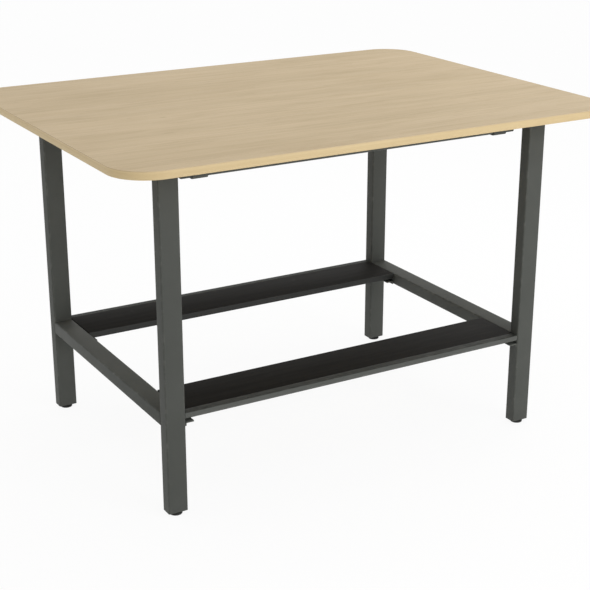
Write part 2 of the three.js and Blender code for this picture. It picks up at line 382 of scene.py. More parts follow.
@dataclass(frozen=True)
class CoatFinish(Finish):
    """Powder coat on steel; a piece given a shade tone is satin, with its top face dull and painted darker as
    shade.
    """

    body: str
    light: str
    rubbed: str
    satin: float = 0.0
    shade_tone: str = ""
    shade_low: float = 0.3062
    shade_high: float = 0.3094

    def lay(self, shader: Shader) -> None:
        """Lays the mottling, the peel, the rubbed roundings and any painted shade on the top face.

        Args:
            shader: emptied tree of the material.
        """
        mottle = shader.noise(4.0, 4.0, 0.6)
        grains = shader.noise(620.0, 2.0, 0.5)
        peel = shader.noise(260.0, 2.0, 0.5)
        rubbed = shader.worn()
        tone = shader.blend(mottle.step(0.25, 0.78), tint(self.body), tint(self.light))
        tone = shader.blend(grains.step(0.52, 0.74) * 0.30, tone, tint(self.light))
        tone = shader.blend(rubbed * 0.45, tone, tint(self.rubbed))
        gloss: dict[str, Any] = {}
        if self.shade_tone:
            # Painted shade: the top face is blended by height to a darker tone, broken up by noise, standing
            # in for the shade of the table top above.
            blotches = shader.noise((26.0, 90.0, 90.0), 5.0, 0.65, 0.6).step(0.30, 0.62)
            painted_top_shade = shader.axis(2).step(self.shade_low, self.shade_high) * (0.76 + blotches * 0.24)
            tone = shader.blend(painted_top_shade, tone, tint(self.shade_tone))
            gloss = {"Coat_Weight": (1.0 - painted_top_shade) * self.satin, "Coat_Roughness": 0.30}
        shader.surface(
            Base_Color=tone,
            Roughness=0.58 + grains * 0.14 - rubbed * 0.16,
            Specular_IOR_Level=0.26,
            Normal=shader.bump(peel * 0.65 + grains * 0.35, 0.20, 0.0003),
            **gloss,
        )


@dataclass(frozen=True)
class LaminateFinish(Finish):
    """Black laminate with a fine embossed wood grain along X."""

    deep: str
    lift: str
    scuff: str

    def lay(self, shader: Shader) -> None:
        """Lays the embossed grain and faint shoe scuffs.

        Args:
            shader: emptied tree of the material.
        """
        bands = shader.noise((2.4, 46.0, 46.0), 5.0, 0.6, 0.4)
        grain = shader.noise((14.0, 340.0, 340.0), 4.0, 0.6, 0.2)
        blotches = shader.noise((9.0, 15.0, 15.0), 6.0, 0.7, 1.2).step(0.60, 0.82)
        tone = shader.blend(bands.step(0.32, 0.70), tint(self.deep), tint(self.lift))
        tone = shader.blend(grain.step(0.52, 0.74) * 0.45, tone, tint(self.deep))
        tone = shader.blend(blotches * 0.22, tone, tint(self.scuff))
        tone = shader.blend(shader.worn() * 0.35, tone, tint(self.scuff))
        shader.surface(
            Base_Color=tone,
            Roughness=0.60 + grain * 0.16 - blotches * 0.08,
            Specular_IOR_Level=0.06,
            Normal=shader.bump(grain * 0.7 + bands * 0.3, 0.30, 0.0003),
        )


@dataclass(frozen=True)
class PlasticFinish(Finish):
    """Moulded dark plastic with a fine spark-eroded texture."""

    body: str
    dusty: str

    def lay(self, shader: Shader) -> None:
        """Lays the moulded texture and some floor dust.

        Args:
            shader: emptied tree of the material.
        """
        grain = shader.noise(1500.0, 2.0, 0.5)
        dust = shader.noise(60.0, 5.0, 0.65).step(0.48, 0.78)
        tone = shader.blend(dust * 0.35, tint(self.body), tint(self.dusty))
        shader.surface(
            Base_Color=tone,
            Roughness=0.48 + grain * 0.12 + dust * 0.18,
            Specular_IOR_Level=0.3,
            Normal=shader.bump(grain, 0.25, 0.0001),
        )


@dataclass(frozen=True)
class ZincFinish(Finish):
    """Bright zinc plate: brushed, with the faint tints of passivation."""

    bright: str
    cool: str
    straw: str

    def lay(self, shader: Shader) -> None:
        """Lays the brushing and the tints.

        Args:
            shader: emptied tree of the material.
        """
        brushed = shader.noise((90.0, 90.0, 1600.0), 3.0, 0.6)
        tints = shader.noise(70.0, 3.0, 0.5)
        tone = shader.blend(tints.step(0.30, 0.70), tint(self.bright), tint(self.cool))
        tone = shader.blend(tints.step(0.62, 0.80) * 0.5, tone, tint(self.straw))
        shader.surface(
            Base_Color=tone,
            Metallic=1.0,
            Roughness=0.30 + brushed * 0.18,
            Normal=shader.bump(brushed, 0.15, 0.0001),
        )


@dataclass(frozen=True)
class ChipboardFinish(Finish):
    """Pressed wood flakes of the top's core."""

    pale: str
    dark: str

    def lay(self, shader: Shader) -> None:
        """Lays the flakes.

        Args:
            shader: emptied tree of the material.
        """
        placed = shader.stretched((150.0, 230.0, 420.0))
        flakes = shader.value("ShaderNodeTexVoronoi", inputs={"Vector": placed, "Scale": 1.0})
        dust = shader.noise((500.0, 500.0, 900.0), 4.0, 0.6)
        tone = shader.blend((flakes * 0.7 + dust * 0.5).clamped(), tint(self.pale), tint(self.dark))
        shader.surface(
            Base_Color=tone,
            Roughness=0.82 + dust * 0.14,
            Normal=shader.bump(flakes, 0.5, 0.0006),
        )


FINISHES: dict[Slot, Finish] = {
    Slot.CORE: ChipboardFinish("chipboard_core", "c3a77c", "7d6142"),
    Slot.VENEER: OakFinish("oak_veneer", "c9b491", "bfaa86", "937d5b", (4.5, 19.0, 19.0), 0.44, leaf=0.24),
    Slot.EDGE: OakFinish("oak_edge_band", "dcc69b", "d2bb8f", "b69b6c", (1.6, 1.6, 42.0), 0.40, lip="c3ae8b"),
    Slot.LAMINATE: LaminateFinish("black_laminate", "1c1b19", "22211f", "373532"),
    Slot.COAT: CoatFinish("powder_coat", "474945", "4f514d", "63655f"),
    Slot.PLASTIC: PlasticFinish("moulded_plastic", "232422", "454340"),
    Slot.ZINC: ZincFinish("zinc_plate", "b4b7ba", "a7adb6", "b9b096"),
}
# The nosing's top face gets a darker tone by height: painted shade.
NOSING = CoatFinish("powder_coat_nosing", "474945", "4f514d", "63655f", satin=0.40, shade_tone="2e302c")


class Form:
    """A mesh being shaped, drawn in millimetres in the shared frame."""

    def __init__(self) -> None:
        """Starts with nothing drawn."""
        self.mesh = bmesh.new()

    def outline(self, corners: Sequence[Corner2], arc: int = 6) -> "Form":
        """Draws one flat face on the drawing board and rounds its corners.

        Args:
            corners: u, v and rounding of each corner.
            arc: segments of each rounding.

        Returns:
            This form.
        """
        points = [self.mesh.verts.new((u, v, 0.0)) for u, v, _ in corners]
        self.mesh.faces.new(points)
        for point, (_, _, radius) in zip(points, corners):
            if radius > 0.0:
                self.bevel([point], radius, arc, "VERTICES")
        return self

    def bevel(
        self, parts: Sequence[Any], radius: float, arc: int, affect: str = "EDGES", clamp: bool = False
    ) -> "Form":
        """Rounds some edges or vertices.

        Args:
            parts: the edges or vertices.
            radius: rounding.
            arc: segments of the rounding.
            affect: EDGES or VERTICES.
            clamp: whether roundings stop where they would meet.

        Returns:
            This form.
        """
        bmesh.ops.bevel(
            self.mesh, geom=parts, offset=radius, offset_type="OFFSET", segments=arc,
            profile=0.5, affect=affect, material=-1, clamp_overlap=clamp,
        )
        return self

    def outward(self) -> None:
        """Turns all faces outwards."""
        bmesh.ops.recalc_face_normals(self.mesh, faces=self.mesh.faces[:])

    def hollow(self, wall: float) -> "Form":
        """Leaves only a wall along the drawn face's outline.

        Args:
            wall: thickness of the wall.

        Returns:
            This form.
        """
        ring = bmesh.ops.inset_region(
            self.mesh, faces=self.mesh.faces[:], thickness=wall, use_even_offset=True, use_boundary=True
        )["faces"]
        inside = [face for face in self.mesh.faces if face not in set(ring)]
        bmesh.ops.delete(self.mesh, geom=inside, context="FACES_ONLY")
        return self

    def draw_out(self, axis: Axis, low: float, high: float) -> "Form":
        """Draws the face out along an axis.

        Args:
            axis: direction of the length.
            low: position of the near end.
            high: position of the far end.

        Returns:
            This form.
        """
        made = bmesh.ops.extrude_face_region(self.mesh, geom=self.mesh.faces[:])["geom"]
        moved = [part for part in made if isinstance(part, bmesh.types.BMVert)]
        bmesh.ops.translate(self.mesh, verts=moved, vec=(0.0, 0.0, high - low))
        bmesh.ops.transform(self.mesh, matrix=axis.matrix.to_4x4(), verts=self.mesh.verts[:])
        return self.move(axis.along * low)

    def move(self, way: Sequence[float]) -> "Form":
        """Moves the whole form."""
        bmesh.ops.translate(self.mesh, verts=self.mesh.verts[:], vec=Vector(way))
        return self

    def ease(self, radius: float, segments: int = 2) -> "Form":
        """Rounds every sharp edge.

        Args:
            radius: rounding.
            segments: segments of the rounding.

        Returns:
            This form.
        """
        self.outward()
        sharp = [e for e in self.mesh.edges if len(e.link_faces) == 2 and e.calc_face_angle() > EASED]
        return self.bevel(sharp, radius, segments, clamp=True)

    def lathe(self, corners: Sequence[Corner2], steps: int, arc: int = 4) -> "Form":
        """Spins a half section round the upright axis.

        Args:
            corners: radius, height and rounding of each corner.
            steps: steps of the full turn.
            arc: segments of each rounding.

        Returns:
            This form.
        """
        self.outline(corners, arc)
        bmesh.ops.delete(self.mesh, geom=self.mesh.faces[:], context="FACES_ONLY")
        middle = [e for e in self.mesh.edges if all(abs(v.co.x) < SAME_POINT for v in e.verts)]
        bmesh.ops.delete(self.mesh, geom=middle, context="EDGES")
        upright = Matrix.Rotation(math.pi / 2, 3, "X")
        bmesh.ops.rotate(self.mesh, cent=(0, 0, 0), matrix=upright, verts=self.mesh.verts[:])
        bmesh.ops.spin(
            self.mesh, geom=self.mesh.verts[:] + self.mesh.edges[:], cent=(0, 0, 0), axis=(0, 0, 1),
            dvec=(0, 0, 0), angle=2 * math.pi, steps=steps, use_merge=True, use_duplicate=False,
        )
        return self

    def thread(self, root: float, crest: float, pitch: float, turns: int, steps: int = 20) -> "Form":
        """Winds a screw thread up from height 0.

        Args:
            root: radius at the root.
            crest: radius at the crest.
            pitch: rise of one turn.
            turns: number of turns.
            steps: steps of one turn.

        Returns:
            This form.
        """
        start = CREST_START * pitch
        rise = [(root, 0.0), (crest, start), (crest, pitch - start), (root, pitch)]
        points = [self.mesh.verts.new((radius, 0.0, height)) for radius, height in rise]
        sides = [self.mesh.edges.new(pair) for pair in zip(points, points[1:])]
        bmesh.ops.spin(
            self.mesh, geom=points + sides, cent=(0, 0, 0), axis=(0, 0, 1), dvec=(0, 0, pitch / steps),
            angle=2 * math.pi * turns, steps=steps * turns, use_merge=False, use_duplicate=False,
        )
        bmesh.ops.remove_doubles(self.mesh, verts=self.mesh.verts[:], dist=SAME_POINT)
        rims = [edge for edge in self.mesh.edges if edge.is_boundary]
        bmesh.ops.holes_fill(self.mesh, edges=rims, sides=0)
        return self

    def hexagon(self, across: float, low: float, high: float, chamfer: float) -> "Form":
        """Draws an upright six-sided prism with its corners chamfered.

        Args:
            across: size across the flats.
            low: lower end.
            high: upper end.
            chamfer: chamfer of the end edges.

        Returns:
            This form.
        """
        bmesh.ops.create_circle(self.mesh, cap_ends=True, segments=6, radius=across / math.sqrt(3))
        self.draw_out(Axis.Z, low, high)
        self.outward()
        flat = [e for e in self.mesh.edges if abs(e.verts[0].co.z - e.verts[1].co.z) < SAME_POINT]
        return self.bevel(flat, chamfer, 2)

    def bead(self, axis: Axis, low: float, high: float, radius: float, ripple: float = 1.6) -> "Form":
        """Lays a weld bead: a bar whose thickness ripples along its length.

        Args:
            axis: direction of the bead.
            low: position of one end.
            high: position of the other.
            radius: mean radius.
            ripple: length of one ripple.

        Returns:
            This form.
        """
        depth = high - low
        tip = BEAD_END * radius
        bmesh.ops.create_cone(
            self.mesh, cap_ends=True, segments=BEAD_SIDES, radius1=tip, radius2=tip, depth=depth
        )
        long = [e for e in self.mesh.edges if abs(e.verts[0].co.z - e.verts[1].co.z) > SAME_POINT]
        cuts = int(RIPPLE_CUTS * depth / ripple)
        bmesh.ops.subdivide_edges(self.mesh, edges=long, cuts=cuts, use_grid_fill=True)
        for vert in self.mesh.verts:
            swell = 1.0 + BEAD_SWELL * math.sin(2 * math.pi * vert.co.z / ripple)
            inner = abs(vert.co.z) < depth / 2 - SAME_POINT
            vert.co.xy *= swell / BEAD_END if inner else 1.0
        bmesh.ops.transform(self.mesh, matrix=axis.matrix.to_4x4(), verts=self.mesh.verts[:])
        return self.move(axis.along * (low + depth / 2))

    def add(self, other: "Form") -> "Form":
        """Takes in the shells of another form.

        Args:
            other: the form to take in; it is used up.

        Returns:
            This form.
        """
        passing = bpy.data.meshes.new("passing")
        other.outward()
        other.mesh.to_mesh(passing)
        other.mesh.free()
        self.mesh.from_mesh(passing)
        bpy.data.meshes.remove(passing)
        return self

    def piece(self, name: str) -> bpy.types.Object:
        """Turns the form into an object at the origin, in metres.

        Args:
            name: name of the piece.

        Returns:
            The object, linked to the scene.
        """
        mesh = self.mesh
        bmesh.ops.remove_doubles(mesh, verts=mesh.verts[:], dist=SAME_POINT)
        bmesh.ops.dissolve_degenerate(mesh, edges=mesh.edges[:], dist=SAME_POINT / 4)
        self.outward()
        wear = mesh.faces.layers.float.new("wear")
        for face in mesh.faces:
            face.smooth = True
            face[wear] = 1.0 if min(e.calc_length() for e in face.edges) < NARROW_FACE else 0.0
        for edge in mesh.edges:
            edge.smooth = len(edge.link_faces) == 2 and edge.calc_face_angle() < SHARP
        bmesh.ops.scale(mesh, vec=(METRES, METRES, METRES), verts=mesh.verts[:])
        data = bpy.data.meshes.new(name)
        mesh.to_mesh(data)
        mesh.free()
        made = bpy.data.objects.new(name, data)
        bpy.context.scene.collection.objects.link(made)
        return made


def rectangle(u: Sequence[float], v: Sequence[float], radius: float) -> list[Corner2]:
    """Corners of a rectangle, counter-clockwise, from two positions on each axis in any order."""
    (u0, u1), (v0, v1) = sorted(u), sorted(v)
    return [(u0, v0, radius), (u1, v0, radius), (u1, v1, radius), (u0, v1, radius)]


class SubAssembly:
    """Pieces that are built, put on the frame's bodies and dressed together."""

    def build(self) -> None:
        """Builds all pieces of the group."""
        raise NotImplementedError

    def fit(
        self,
        form: Form,
        name: str,
        slot: Slot,
        nodes: Sequence[str] = (),
        body: str = "frame",
        finish: Optional[Finish] = None,
    ) -> None:
        """Makes a form a piece of the table.

        Args:
            form: finished form.
            name: name of the piece.
            slot: slot it takes its finish from.
            nodes: CAD nodes that it stands for.
            body: body that it rides on.
            finish: a finish of its own, where the slot's one does not do.
        """
        piece = form.piece(name)
        piece.data.materials.append((finish or FINISHES[slot]).material())
        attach(piece, body)
        if nodes:
            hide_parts(*nodes)
        LOG.info("%s: %d faces on %s", name, len(piece.data.polygons), body)

    def dress(self, node: str, slot: Slot) -> None:
        """Gives a CAD node that stays its finish.

        Args:
            node: name of the node.
            slot: slot it takes its finish from.
        """
        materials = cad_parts[node].data.materials
        materials.clear()
        materials.append(FINISHES[slot].material())
        LOG.info("%s: dressed as %s", node, slot.value)


@dataclass
class TableTop(SubAssembly):
    """Veneered top with wide rounded corners and a light edge band."""

    length: float = 1600.0
    depth: float = 1200.0
    underside: float = 1027.0
    surface: float = 1050.0
    corner: float = 115.0
    veneer: float = 0.7
    band: float = 2.0
    arris: float = 1.0
    arris_arc: int = 3
    arc: int = 28

    def sheet(self, inset: float) -> list[Corner2]:
        """Outline of the top, drawn in by an inset."""
        half_length, half_depth = self.length / 2 - inset, self.depth / 2 - inset
        return rectangle((-half_length, half_length), (-half_depth, half_depth), self.corner - inset)

    def build(self) -> None:
        """Builds the veneers and the band, and dresses the core."""
        for side, low in (("face", self.surface - self.veneer), ("back", self.underside)):
            leaf = Form().outline(self.sheet(self.band), self.arc)
            leaf.draw_out(Axis.Z, low, low + self.veneer)
            self.fit(leaf, f"top_{side}_veneer", Slot.VENEER, [f"tabletop_{side}_veneer"])
        band = Form().outline(self.sheet(0.0), self.arc).hollow(self.band)
        band.draw_out(Axis.Z, self.underside, self.surface)
        self.round_outside(band)
        self.fit(band, "top_edge_band", Slot.EDGE, ["tabletop_edge_band"])
        self.dress("tabletop_core", Slot.CORE)

    def round_outside(self, band: Form) -> None:
        """Rounds the band's two outer arrises.

        Args:
            band: the drawn-out band.
        """
        band.outward()
        outer = [
            edge for edge in band.mesh.edges
            if edge.calc_face_angle(0.0) > EASED
            and any(abs(face.normal.z) < 0.5 and face.normal.dot(face.calc_center_median()) > 0
                    for face in edge.link_faces)
        ]
        band.bevel(outer, self.arris, self.arris_arc)


@dataclass
class Tube:
    """Rectangular steel tube of the frame."""

    wide: float = 60.0
    narrow: float = 40.0
    wall: float = 2.0
    corner: float = 5.0
    arc: int = 8
    end_ease: float = 0.5

    def draw(self, u: Sequence[float], v: Sequence[float], axis: Axis, span: Sequence[float]) -> Form:
        """Draws one length of tube.

        Args:
            u: two positions along the section's u.
            v: two positions along the section's v.
            axis: direction of the length.
            span: two positions along the length.

        Returns:
            The tube.
        """
        form = Form().outline(rectangle(u, v, self.corner), self.arc).hollow(self.wall)
        form.draw_out(axis, min(span), max(span))
        return form.ease(self.end_ease)


@dataclass
class WoodScrew:
    """Pan-head screw, driven upwards into the top."""

    head: float = 5.2
    rise: float = 2.6
    socket: float = 2.3
    socket_depth: float = 1.5
    crown: float = 1.7
    shank: float = 2.4
    length: float = 16.0
    point: float = 4.0
    lobes: int = 6
    lobe: float = 0.16
    edge: float = 0.2
    steps: int = 36

    def draw(self, x: float, y: float, seat: float) -> Form:
        """Draws the screw with its head against a seat above it.

        Args:
            x: position of the screw.
            y: position of the screw.
            seat: height of the face that the head bears on.

        Returns:
            The screw.
        """
        deep = self.socket_depth - self.rise
        half = [
            (0.0, deep, 0.0),
            (self.socket, deep, 0.0),
            (self.socket, -self.rise, 0.15),
            (self.head, -self.rise, self.crown),
            (self.head, 0.0, self.edge),
            (self.shank, 0.0, 0.0),
            (self.shank, self.length - self.point, 0.0),
            (0.0, self.length, 0.0),
        ]
        form = Form().lathe(half, self.steps)
        for vert in form.mesh.verts:
            reach = vert.co.xy.length
            if vert.co.z < deep + SAME_POINT and SAME_POINT < reach < self.socket + self.edge:
                turn = math.atan2(vert.co.y, vert.co.x)
                vert.co.xy *= 1.0 - self.lobe + self.lobe * math.cos(self.lobes * turn)
        return form.move((x, y, seat))


@dataclass
class EndFrame(SubAssembly):
    """One end of the frame: two legs, the rail at the footrests, the rail under the top."""

    end: End
    tube: Tube
    screw: WoodScrew
    outer_x: float = 642.0
    outer_y: float = 443.0
    floor_gap: float = 10.0
    top: float = 1022.0
    side_rail_top: float = 310.0
    plate_thickness: float = 5.0
    plate_length: float = 85.0
    plate_depth: float = 110.0
    plate_corner: float = 8.0
    plate_ease: float = 0.6
    plate_screw_inset: float = 15.0
    bead: float = 2.2
    bead_gap: float = 5.0
    bead_margin: float = 7.0
    bead_sunk: float = 0.35
    bead_inset: float = 0.4
    bead_shift: float = 1.2
    bead_lift: float = 0.2

    @property
    def inner_x(self) -> float:
        """Position of the legs' inner faces."""
        return self.outer_x - self.tube.wide

    @property
    def inner_y(self) -> float:
        """Position of the legs' faces towards each other."""
        return self.outer_y - self.tube.narrow

    def build(self) -> None:
        """Builds the legs, plates, rails, screws and welds of this end."""
        label, sign = self.end.value
        for place in Place:
            if place.signs[0] == sign:
                self.build_leg(place)
        across = (sign * self.inner_x, sign * self.outer_x)
        span = (-self.inner_y, self.inner_y)
        for name, top in (("side_rail", self.side_rail_top), ("cross_rail", self.top)):
            rail = self.tube.draw((top - self.tube.narrow, top), across, Axis.Y, span)
            self.fit(rail, f"{name}_tube_{label}", Slot.COAT, [f"{name}_{label}"])
        self.fit(self.draw_welds(sign), f"rail_welds_{label}", Slot.COAT)

    def build_leg(self, place: Place) -> None:
        """Builds one leg with its plate and the plate's screws.

        Args:
            place: which leg.
        """
        sx, sy = place.signs
        across = (sx * self.inner_x, sx * self.outer_x)
        along = (sy * self.inner_y, sy * self.outer_y)
        leg = self.tube.draw(across, along, Axis.Z, (self.floor_gap, self.top))
        self.fit(leg, f"leg_tube_{place.label}", Slot.COAT, [f"leg_{place.label}"])
        deep = (sy * self.outer_y, sy * (self.outer_y - self.plate_depth))
        wide = (sx * self.outer_x, sx * (self.outer_x - self.plate_length))
        plate = Form().outline(rectangle(wide, deep, self.plate_corner), self.tube.arc)
        plate.draw_out(Axis.Z, self.top, self.top + self.plate_thickness).ease(self.plate_ease)
        self.fit(plate, f"top_plate_{place.label}", Slot.COAT, [f"leg_plate_{place.label}"])
        screw_x = sx * (self.inner_x - (self.plate_length - self.tube.wide) / 2)
        screws = Form()
        for inset in (self.plate_screw_inset, self.plate_depth - self.plate_screw_inset):
            screws.add(self.screw.draw(screw_x, sy * (self.outer_y - inset), self.top))
        self.fit(screws, f"plate_screws_{place.label}", Slot.ZINC)

    def draw_welds(self, sign: int) -> Form:
        """Lays the beads along the rails' inner and lower seams.

        Args:
            sign: sign of X of this end.

        Returns:
            All beads of the end.
        """
        welds = Form()
        sunk = self.bead_sunk * self.bead
        reach = (self.inner_x + self.bead_margin, self.outer_x - self.bead_margin)
        left, right = sorted(sign * x for x in reach)
        for way in (-1, 1):
            seam = way * (self.inner_y + self.bead_inset * self.bead)
            for top in (self.side_rail_top, self.top):
                low = top - self.tube.narrow
                upright = Form().bead(Axis.Z, low + self.bead_gap, top - self.bead_gap, self.bead)
                welds.add(upright.move((sign * (self.inner_x + sunk + self.bead_shift), seam, 0.0)))
                level = Form().bead(Axis.X, left, right, self.bead)
                welds.add(level.move((0.0, way * (self.inner_y - sunk), low + self.bead_lift)))
        return welds


@dataclass
class LongBeam(SubAssembly):
    """Long beam under one side of the top, its straps and the spigots it slides over."""

    flank: Flank
    tube: Tube
    screw: WoodScrew
    half_length: float = 554.0
    outer_y: float = 401.0
    top: float = 1022.0
    top_underside: float = 1027.0
    strap_centre: float = 500.0
    strap_width: float = 46.0
    strap_thickness: float = 3.5
    strap_flange: float = 24.0
    strap_bend: float = 4.0
    strap_ease: float = 0.5
    seat_gap: float = 0.3

    @property
    def middle_y(self) -> float:
        """Position of the beam's centre line, without its sign."""
        return self.outer_y - self.tube.narrow / 2

    def build(self) -> None:
        """Builds the beam, its straps and screws, and dresses the spigots."""
        label, sign = self.flank.value
        bottom = self.top - self.tube.wide
        across = (sign * self.outer_y, sign * (self.outer_y - self.tube.narrow))
        beam = self.tube.draw(across, (bottom, self.top), Axis.X, (-self.half_length, self.half_length))
        self.fit(beam, f"beam_tube_{label}", Slot.COAT, [f"beam_{label}"])
        for place in Place:
            if place.signs[1] == sign:
                self.build_strap(place, bottom)
                self.dress(f"beam_spigot_{place.label}", Slot.COAT)

    def build_strap(self, place: Place, beam_bottom: float) -> None:
        """Builds the folded strap at one end of the beam, with its two screws.

        Args:
            place: which end of which beam.
            beam_bottom: height of the beam's lower face.
        """
        sx, sy = place.signs
        middle = sy * self.middle_y
        inside = self.tube.narrow / 2 + self.seat_gap
        outside = inside + self.strap_thickness
        tip = outside + self.strap_flange
        bottom = beam_bottom - self.seat_gap - self.strap_thickness
        shoulder = self.top_underside - self.strap_thickness
        wide_bend = self.strap_bend + self.strap_thickness
        half = [
            (inside, bottom + self.strap_thickness, self.strap_bend),
            (inside, self.top_underside, wide_bend),
            (tip, self.top_underside, 0.0),
            (tip, shoulder, 0.0),
            (outside, shoulder, self.strap_bend),
            (outside, bottom, wide_bend),
        ]
        loop = half + [(-u, v, radius) for u, v, radius in reversed(half)]
        strap = Form().outline([(middle + u, v, radius) for u, v, radius in loop])
        low = sx * self.strap_centre - self.strap_width / 2
        strap.draw_out(Axis.X, low, low + self.strap_width).ease(self.strap_ease)
        self.fit(strap, f"strap_band_{place.label}", Slot.COAT, [f"beam_strap_{place.label}"])
        screws = Form()
        for way in (-1, 1):
            reach = middle + way * (outside + self.strap_flange / 2)
            screws.add(self.screw.draw(sx * self.strap_centre, reach, shoulder))
        self.fit(screws, f"strap_screws_{place.label}", Slot.ZINC)


@dataclass
class Footrest(SubAssembly):
    """Footrest of one side: board, nosing, stiffener, the angles that carry it and their bolts."""

    flank: Flank
    inner_x: float = 582.0
    end_gap: float = 0.5
    inner_edge: float = 257.5
    outer_edge: float = 440.0
    top: float = 310.0
    board_thickness: float = 19.0
    board_ease: float = 0.3
    edging: float = 1.0
    edging_rounding: float = 0.8
    edging_arc: int = 4
    seat_gap: float = 0.3
    nosing_width: float = 24.0
    nosing_height: float = 21.0
    nosing_wall: float = 2.0
    nosing_top_rounding: float = 2.5
    nosing_front_rounding: float = 9.0
    nosing_inner_rounding: float = 0.6
    nosing_arc: int = 10
    stiffener_height: float = 9.0
    stiffener_centre: float = 345.0
    angle_reach: float = 27.0
    angle_height: float = 12.0
    angle_thickness: float = 4.0
    angle_bend: float = 3.0
    angle_ease: float = 0.5
    bolt_spacing: float = 30.0
    bolt_head: float = 10.0
    bolt_head_height: float = 4.0
    bolt_chamfer: float = 0.6
    bolt_shank: float = 2.9
    bolt_tip: float = 1.0
    bolt_depth: float = 12.0
    bolt_steps: int = 24
    washer: float = 0.7
    washer_share: float = 0.46
    washer_relief: float = 0.05

    def build(self) -> None:
        """Builds board, nosing, angles and bolts, and dresses the stiffener."""
        label, sign = self.flank.value
        half = self.inner_x - self.end_gap
        nosing_inner = self.outer_edge - self.nosing_width
        bottom = self.top - self.board_thickness
        lipped = self.inner_edge + self.edging
        span = (sign * lipped, sign * (nosing_inner - self.seat_gap))
        board = Form().outline(rectangle(span, (bottom, self.top), 0.0))
        board.draw_out(Axis.X, -half, half).ease(self.board_ease)
        self.fit(board, f"rest_board_{label}", Slot.LAMINATE, [f"footrest_board_{label}"])
        strip = [
            (sign * self.inner_edge, bottom, self.edging_rounding),
            (sign * lipped, bottom, 0.0),
            (sign * lipped, self.top, 0.0),
            (sign * self.inner_edge, self.top, self.edging_rounding),
        ]
        edging = Form().outline(strip, self.edging_arc).draw_out(Axis.X, -half, half)
        self.fit(edging, f"rest_edging_{label}", Slot.PLASTIC)
        low = self.top - self.nosing_height
        section = [
            (sign * nosing_inner, low, self.nosing_inner_rounding),
            (sign * self.outer_edge, low, self.nosing_front_rounding),
            (sign * self.outer_edge, self.top, self.nosing_top_rounding),
            (sign * nosing_inner, self.top, self.nosing_inner_rounding),
        ]
        nosing = Form().outline(section, self.nosing_arc).hollow(self.nosing_wall)
        nosing.draw_out(Axis.X, -half, half)
        node = f"footrest_nosing_{label}"
        self.fit(nosing, f"rest_nosing_{label}", Slot.COAT, [node], finish=NOSING)
        self.dress(f"footrest_stiffener_{label}", Slot.COAT)
        for end in End:
            self.build_angle(end, bottom - self.stiffener_height)

    def build_angle(self, end: End, top: float) -> None:
        """Builds the folded angle at one end, with its two bolts.

        Args:
            end: which end.
            top: height of the angle's upper face.
        """
        label, sy = self.flank.value
        end_label, sx = end.value
        outer = sx * self.inner_x
        inner = sx * (self.inner_x - self.angle_thickness)
        tip = sx * (self.inner_x - self.angle_reach)
        under, low = top - self.angle_thickness, top - self.angle_height
        fold = [
            (top, outer, self.angle_bend),
            (top, tip, 0.0),
            (under, tip, 0.0),
            (under, inner, self.angle_bend / 2),
            (low, inner, 0.0),
            (low, outer, 0.0),
        ]
        span = sorted((sy * self.inner_edge, sy * self.outer_edge))
        angle = Form().outline(fold).draw_out(Axis.Y, span[0], span[1]).ease(self.angle_ease)
        where = f"{label}_{end_label}"
        self.fit(angle, f"rest_angle_{where}", Slot.COAT, [f"footrest_angle_{where}"])
        x = sx * (self.inner_x - self.angle_thickness - (self.angle_reach - self.angle_thickness) / 2)
        for number, way in enumerate((-1, 1), start=1):
            y = sy * (self.stiffener_centre + way * self.bolt_spacing / 2)
            bolt = self.draw_bolt(top + self.stiffener_height + self.bolt_depth - under).move((x, y, under))
            self.fit(bolt, f"rest_bolt_{where}_{number}", Slot.ZINC, [f"footrest_bolt_{where}_{number}"])

    def draw_bolt(self, reach: float) -> Form:
        """Draws a hexagon bolt that points up from height 0.

        Args:
            reach: length of the shank above the seat.

        Returns:
            The bolt with its washer face.
        """
        bolt = Form().hexagon(self.bolt_head, -self.bolt_head_height, -self.washer, self.bolt_chamfer)
        flange = self.washer_share * self.bolt_head
        half = [
            (0.0, -self.washer, 0.0),
            (flange, -self.washer, 0.0),
            (flange, -self.washer_relief, 0.1),
            (self.bolt_shank, -self.washer_relief, 0.0),
            (self.bolt_shank, reach - self.bolt_tip, 0.0),
            (self.bolt_shank - self.bolt_tip, reach, 0.0),
            (0.0, reach, 0.0),
        ]
        return bolt.add(Form().lathe(half, self.bolt_steps))


